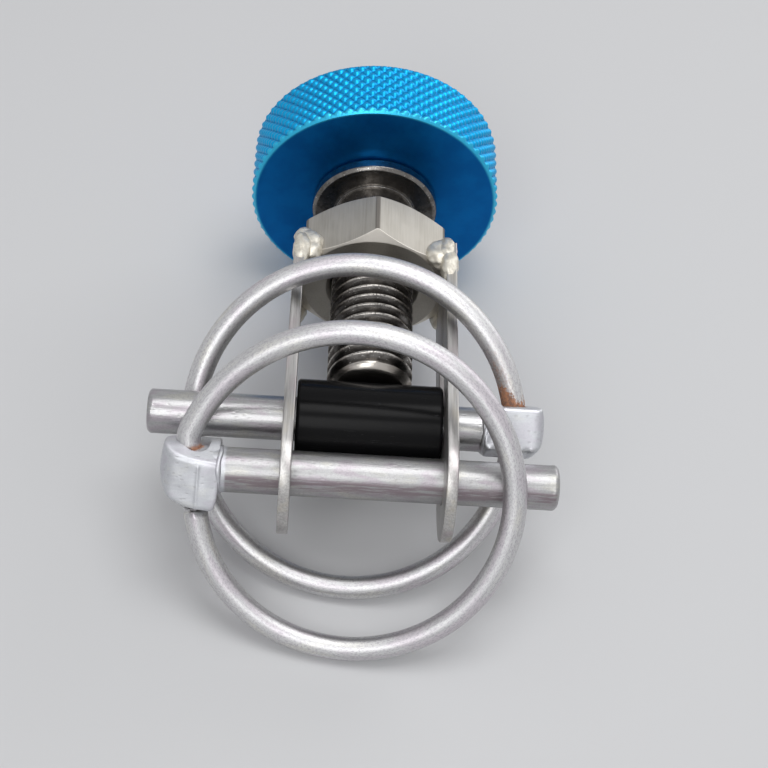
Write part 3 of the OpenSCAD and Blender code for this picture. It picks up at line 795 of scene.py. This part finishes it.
def spindle_finish():
    """Dark polished stainless steel with fine turning lines, painted shade in the thread's grooves,
    a painted highlight in patches on its crests and on the tip's bevel, and scattered bright
    specks, partly nicked steel and partly painted glints."""
    p = Paint("spindle_polished_steel")
    turned_lines = p.noise(p.place((0.2, 9.0, 0.2)), 1.0, 3, 0.7)
    grime = p.noise(p.place(), 0.9, 4, 0.65)
    nicks_and_glints = p.noise(p.place(), 5.0, 2, 0.5)
    colour = p.mix(grime.over(0.4, 0.7), (0.19, 0.18, 0.17), (0.095, 0.087, 0.08))
    radial = p.from_axis()
    # Painted highlight, in patches, along the thread's crests.
    crest = radial.over(THREAD_R - 0.16, THREAD_R - 0.05)
    crest = crest * radial.over(THREAD_R + 0.4, THREAD_R + 0.1)
    # Painted shade in the thread's grooves.
    groove = radial.over(THREAD_R - 0.45, THREAD_R - 0.85)
    groove = groove * radial.over(THREAD_R - 1.6, THREAD_R - 1.2)
    colour = p.mix(groove * 0.7, colour, (0.045, 0.04, 0.036))
    colour = p.mix(crest * nicks_and_glints.over(0.36, 0.5) * 0.8, colour, (0.62, 0.59, 0.55))
    # Painted highlight on the tip's bevel.
    tip = p.part(p.place(), 1).over(SPINDLE_TIP + 1.5, SPINDLE_TIP + 1.1)
    colour = p.mix(tip * 0.85, colour, (0.60, 0.56, 0.51))
    # Bright specks: partly nicked steel, partly painted glints.
    colour = p.mix(nicks_and_glints.over(0.66, 0.74), colour, (0.75, 0.73, 0.70))
    return p.finish(
        Base_Color=colour, Metallic=1.0, Roughness=0.16 + grime * 0.14,
        Normal=p.bump(turned_lines * 0.5 + nicks_and_glints * 0.5, 0.012),
    )


def knob_finish():
    """Blue anodised aluminium, satin, with a painted highlight on the knurl and a brighter painted
    glint round its near rim, with faint rings turned into its faces and pale dust."""
    p = Paint("knob_blue_anodised")
    place = p.place()
    radial = p.from_axis()
    rings = p.noise(p.node("ShaderNodeCombineXYZ", {}, {"X": radial * 7.0}), 1.0, 2, 0.6)
    cloud = p.noise(place, 0.22, 3, 0.6)
    dust = p.noise(place, 3.2, 4, 0.7).over(0.69, 0.78) * radial.over(12.0, 10.0)
    dust = dust * cloud.over(0.5, 0.62)
    colour = p.mix(cloud.over(0.35, 0.65), (0.0, 0.13, 0.43), (0.001, 0.16, 0.50))
    # Painted highlight: the knurled wall is lighter and more cyan, most on the pip tops.
    colour = p.mix(radial.over(KNOB_R - 0.62, KNOB_R - 0.15) * 0.85, colour, (0.012, 0.42, 0.78))
    # Painted glint round the near rim, where the pips run out into the bevel.
    near_rim = p.part(place, 1).over(KNOB_NEAR + 0.9, KNOB_NEAR + 0.45)
    rim = radial.over(KNOB_R - 0.9, KNOB_R - 0.5) * near_rim
    colour = p.mix(rim * 0.7, colour, (0.06, 0.60, 0.86))
    colour = p.mix(dust * 0.5, colour, (0.5, 0.6, 0.68))
    return p.finish(
        Base_Color=colour, Metallic=0.97, Roughness=0.34 + rings * 0.08 + dust * 0.3,
        Normal=p.bump(rings, 0.006), Coat_Weight=0.03, Coat_Roughness=0.25,
    )


def screw_finish():
    """Plain machine screw steel."""
    p = Paint("screw_steel")
    marks = p.noise(p.place(), 2.4, 4, 0.6)
    colour = p.mix(marks.over(0.35, 0.65), (0.50, 0.50, 0.49), (0.62, 0.61, 0.60))
    return p.finish(
        Base_Color=colour, Metallic=1.0, Roughness=0.26 + marks * 0.16, Normal=p.bump(marks, 0.012),
    )


def zinc_colour(p, streaks, tint):
    """Zinc plating: whitish, streaked with grey, with violet and straw patches."""
    colour = p.mix(streaks.over(0.3, 0.72), (0.40, 0.40, 0.40), (0.72, 0.72, 0.715))
    colour = p.mix(tint.over(0.50, 0.64) * 0.6, colour, (0.47, 0.385, 0.45))
    return p.mix(tint.over(0.46, 0.33) * 0.4, colour, (0.68, 0.66, 0.54))


def pin_finish(name, rough, head_x, tip_x, rust_at, rust_r, reflection_strength):
    """Drawn zinc-plated pin: long streaks on its shank, dents, a bluish smoother head, a painted
    dark reflection, tinted brown, in a stripe low on its front, and rust round the ring's hole. The
    head starts at head_x, the free end is at tip_x, and the rust fades at rust_r from rust_at."""
    p = Paint(name)
    place = p.place()
    along = p.part(place, 0)
    head = along.over(head_x - np.sign(head_x) * 0.4, head_x)
    streaks = p.noise(p.place((0.22, 2.6, 2.6)), 1.0, 5, 0.62)
    # How far a point lies down the slope that the painted dark reflection faces
    low = p.part(place, 1) * -0.77 - p.part(place, 2) * 0.63
    shank = (1 - head) * along.over(tip_x - np.sign(tip_x) * 0.1, tip_x - np.sign(tip_x) * 0.6)
    # Painted dark reflection, tinted brown, in a stripe on the side that faces forward and down.
    dark_reflection_band = low.over(0.2, 0.9) * low.over(2.6, 1.7) * shank * streaks.over(0.38, 0.56)
    tint = p.noise(p.place((0.22, 0.7, 0.7)), 1.0, 2)
    dents = p.cells(p.place((0.8, 1.4, 1.4)), 1.1).over(0.30, 0.12)
    grain = p.noise(place, 4.5, 4, 0.65)
    colour = zinc_colour(p, streaks * 0.6 + grain * 0.4, tint)
    colour = p.mix(grain.over(0.46, 0.60) * 0.45, colour, (0.27, 0.255, 0.27))
    colour = p.mix(dark_reflection_band * reflection_strength, colour, (0.25, 0.175, 0.20))
    colour = p.mix((1 - head) * 0.35, colour, (0.26, 0.26, 0.265))
    colour = p.mix(head * 0.6, colour, (0.66, 0.68, 0.72))
    colour = p.mix(dents * 0.2, colour, (0.30, 0.29, 0.28))
    from_hole = p.length(p.place(zero=rust_at)) + (grain - 0.5) * 1.2
    rust = from_hole.over(rust_r + 0.25, rust_r - 0.1)
    colour = p.mix(rust * 0.8, colour, rust_colour(p, place))
    return p.finish(
        Base_Color=colour, Metallic=1.0 - rust * 0.85,
        Roughness=rough + streaks * 0.16 + head * 0.1 + rust * 0.4,
        Normal=p.bump(streaks * (0.6 - head * 0.5) + grain * 0.25 - dents * 0.35, 0.035),
    )


def ring_finish(name, mesh, rust_len, ragged, stain_len):
    """Drawn zinc-plated wire: streaks along it, dark grain, violet and straw patches, and rust over
    rust_len of its upper end, with a ragged edge and a fainter stain up to stain_len."""
    length = max(item.vector[0] for item in mesh.attributes["path_place"].data)
    p = Paint(name)
    streaks = p.noise(p.path_place((0.10, 1.9, 1.9)), 1.0, 5, 0.6)
    tint = p.noise(p.path_place((0.12, 0.55, 0.55)), 1.0, 2)
    pits = p.noise(p.path_place((1.6, 3.0, 3.0)), 1.6, 3, 0.6)
    grain = p.noise(p.path_place((1.1, 2.6, 2.6)), 2.4, 4, 0.7)
    colour = p.mix(0.3, zinc_colour(p, streaks * 0.5 + grain * 0.5, tint), (0.98, 0.98, 0.98))
    colour = p.mix(grain.over(0.46, 0.60) * 0.6, colour, (0.36, 0.335, 0.37))
    to_end = length - p.part(p.path_place(), 0)
    patch = p.noise(p.path_place((0.6, 1.0, 1.0)), 1.0, 3, 0.6)
    fine = p.noise(p.path_place((1.6, 2.0, 2.0)), 1.4, 4, 0.7)
    inner = p.part(p.path_place(), 1).over(-1.0, 1.3)
    to_edge = to_end + (fine - 0.5) * ragged * 2.0 - inner * ragged
    rust = to_edge.over(rust_len + 0.3, rust_len - 0.5)
    stain = (to_end + (patch - 0.5) * 8.0).over(stain_len, stain_len - 5.0) * inner
    rust = rust.most(stain * fine.over(0.35, 0.7) * 0.7)
    colour = p.mix(rust * 0.85, colour, rust_colour(p, p.path_place()))
    return p.finish(
        Base_Color=colour, Metallic=1.0 - rust * 0.8, Roughness=0.36 + streaks * 0.16 + rust * 0.4,
        Normal=p.bump(streaks * 0.5 + pits * 0.25 + grain * 0.3 + rust * 0.3, 0.03),
    )


def sleeve_finish():
    """Smooth black plastic with fine scuffs and grey dust."""
    p = Paint("sleeve_black_plastic")
    place = p.place(zero=(0, JAW_AT, 0))
    scuffs = p.noise(p.place((0.5, 4.0, 4.0)), 1.2, 5, 0.7, 0.6)
    worn = p.noise(p.place((0.25, 0.3, 0.3)), 1.0, 2)
    marks = scuffs.over(0.60, 0.74) * worn.over(0.45, 0.62)
    rings = p.noise(p.place((7.0, 0.3, 0.3)), 1.0, 2)
    colour = p.mix(marks * 0.4, (0.006, 0.006, 0.0065), (0.08, 0.08, 0.085))
    return p.finish(
        Base_Color=colour, Roughness=0.16 + scuffs * 0.12 + marks * 0.2, Specular_IOR_Level=0.10,
        Normal=p.bump(rings * 0.4 + scuffs * 0.4 + p.noise(place, 2.0, 2) * 0.2, 0.006),
    )


def painted(item, material):
    """Gives an object its one material."""
    item.data.materials.clear()
    item.data.materials.append(material)


# ---------------------------------------------------------------- stage, light and camera

PALE = (0.70, 0.705, 0.72)


def pale_floor():
    """A wide flat floor that takes the object's shadow, of the background's colour."""
    mesh = bpy.data.meshes.new("floor")
    reach = 3.0
    corners = [(-reach, -reach, 0), (reach, -reach, 0), (reach, reach, 0), (-reach, reach, 0)]
    mesh.from_pydata(corners, [], [(0, 1, 2, 3)])
    floor = bpy.data.objects.new("floor", mesh)
    bpy.context.scene.collection.objects.link(floor)
    p = Paint("floor_pale")
    painted(floor, p.finish(Base_Color=PALE, Roughness=0.6, Specular_IOR_Level=0.2))


def soft_light(name, place, size, power, aim=(0.0, 0.0, 0.018)):
    """A square soft lamp at a place in metres, turned to face the object."""
    data = bpy.data.lights.new(name, "AREA")
    data.size, data.energy = size, power
    lamp = bpy.data.objects.new(name, data)
    lamp.location = place
    lamp.rotation_euler = (Vector(aim) - Vector(place)).to_track_quat("-Z", "Y").to_euler()
    bpy.context.scene.collection.objects.link(lamp)


def pale_world():
    """Even light on the object, and a plain pale background seen by the camera, in reflections and
    through anything clear."""
    world = bpy.data.worlds.new("studio")
    world.use_nodes = True
    bpy.context.scene.world = world
    w = Nodes(world.node_tree)
    even = w.tree.nodes["Background"]
    w.feed(even.inputs["Color"], (1.0, 1.0, 1.0))
    w.feed(even.inputs["Strength"], 0.40)
    plain = w.node("ShaderNodeBackground", {}, {"Color": PALE})
    camera_ray, glossy, passed = (
        w.node("ShaderNodeLightPath", {}, {}, f"Is {kind} Ray")
        for kind in ("Camera", "Glossy", "Transmission")
    )
    seen = camera_ray.most(glossy).most(passed)
    mixed = w.node("ShaderNodeMixShader", {}, {0: seen, 1: Value(w, even.outputs[0]), 2: plain})
    w.feed(w.tree.nodes["World Output"].inputs["Surface"], mixed)


def camera():
    """Looks down at the jaw's end from in front, along the spindle."""
    right = Vector((0.99715, 0.01698, 0.07352))
    up = Vector((-0.05976, 0.77253, 0.63216))
    back = right.cross(up).normalized()
    up = back.cross(right).normalized()
    data = bpy.data.cameras.new("camera")
    data.sensor_width, data.lens = 36.0, 83.22
    view = bpy.data.objects.new("camera", data)
    spot = (Vector(ZERO) + Vector((-9.26, -139.37, 188.98))) * MM
    turn = Matrix((right.normalized(), up, back)).transposed().to_4x4()
    view.matrix_world = Matrix.Translation(spot) @ turn
    bpy.context.scene.collection.objects.link(view)
    bpy.context.scene.camera = view


# ---------------------------------------------------------------- the clamp

camera()

painted(knurled_knob(), knob_finish())
painted(threaded_spindle(), spindle_finish())
painted(hex_nut(), nut_finish())
plate_steel = plate_finish()
for side in ("left", "right"):
    plate = softened(f"{side}_side_plate", f"{side}_plate", "frame", width=0.18)
    painted(plate, plate_steel)
weld_metal = weld_finish()
# The upper seam's middle, where a plate's rear end laps over the nut
seam_x, seam_s, seam_n = HALF_GAP, (NUT_NEAR + PLATE_FAR) / 2, PLATE_HALF_W - 0.9
painted(weld_beads("left_weld_bead", "left_welds", [
    ((-seam_x - 0.4, seam_s - 1.1, seam_n), (1.3, 3.0, 1.4)),
    ((-seam_x + 0.7, seam_s + 0.1, seam_n - 0.4), (2.1, 2.6, 1.25)),
    ((-seam_x - 0.2, seam_s + 2.1, seam_n - 1.0), (1.35, 1.8, 1.25)),
    ((-seam_x - 0.4, seam_s - 0.1, -seam_n), (1.2, 2.0, 1.3)),
]), weld_metal)
painted(weld_beads("right_weld_bead", "right_welds", [
    ((seam_x + 0.2, seam_s + 0.2, seam_n), (1.35, 2.2, 1.4)),
    ((seam_x - 0.8, seam_s - 0.1, seam_n - 0.4), (2.1, 2.6, 1.3)),
    ((seam_x + 0.45, seam_s - 2.6, seam_n + 0.1), (1.3, 2.9, 1.35)),
    ((seam_x + 0.1, seam_s + 1.9, seam_n - 1.0), (1.3, 1.7, 1.25)),
    ((seam_x + 0.35, seam_s - 0.1, -seam_n), (1.25, 2.1, 1.35)),
]), weld_metal)
front_ring, rear_ring = spring_rings()
painted(front_ring, ring_finish(
    "front_ring_zinc", front_ring.data, rust_len=2.7, ragged=0.4, stain_len=2.7,
))
painted(rear_ring, ring_finish(
    "rear_ring_zinc", rear_ring.data, rust_len=3.9, ragged=2.6, stain_len=13.0,
))
painted(jaw_sleeve(), sleeve_finish())
painted(front_linch_pin(), pin_finish(
    "front_pin_zinc", rough=0.32, head_x=-18.8, tip_x=FRONT_TIP,
    rust_at=(-FRONT_HOLE, 2.3, 2.9), rust_r=1.65, reflection_strength=0.9,
))
painted(rear_linch_pin(), pin_finish(
    "rear_pin_zinc", rough=0.24, head_x=15.5, tip_x=-REAR_TIP,
    rust_at=(REAR_HOLE, JAW_AT + 2.6, 2.3), rust_r=1.9, reflection_strength=0.55,
))
screw = softened("knob_fixing_screw", "knob_screw", "spindle", width=0.12)
painted(screw, screw_finish())

pale_floor()
pale_world()
soft_light("overhead", (0.06, 0.03, 0.46), size=0.26, power=0.7)
soft_light("front", (-0.08, -0.32, 0.36), size=0.24, power=0.5)
soft_light("back_right", (0.34, 0.32, 0.20), size=0.30, power=0.4)
bpy.context.scene.view_settings.view_transform = "Standard"
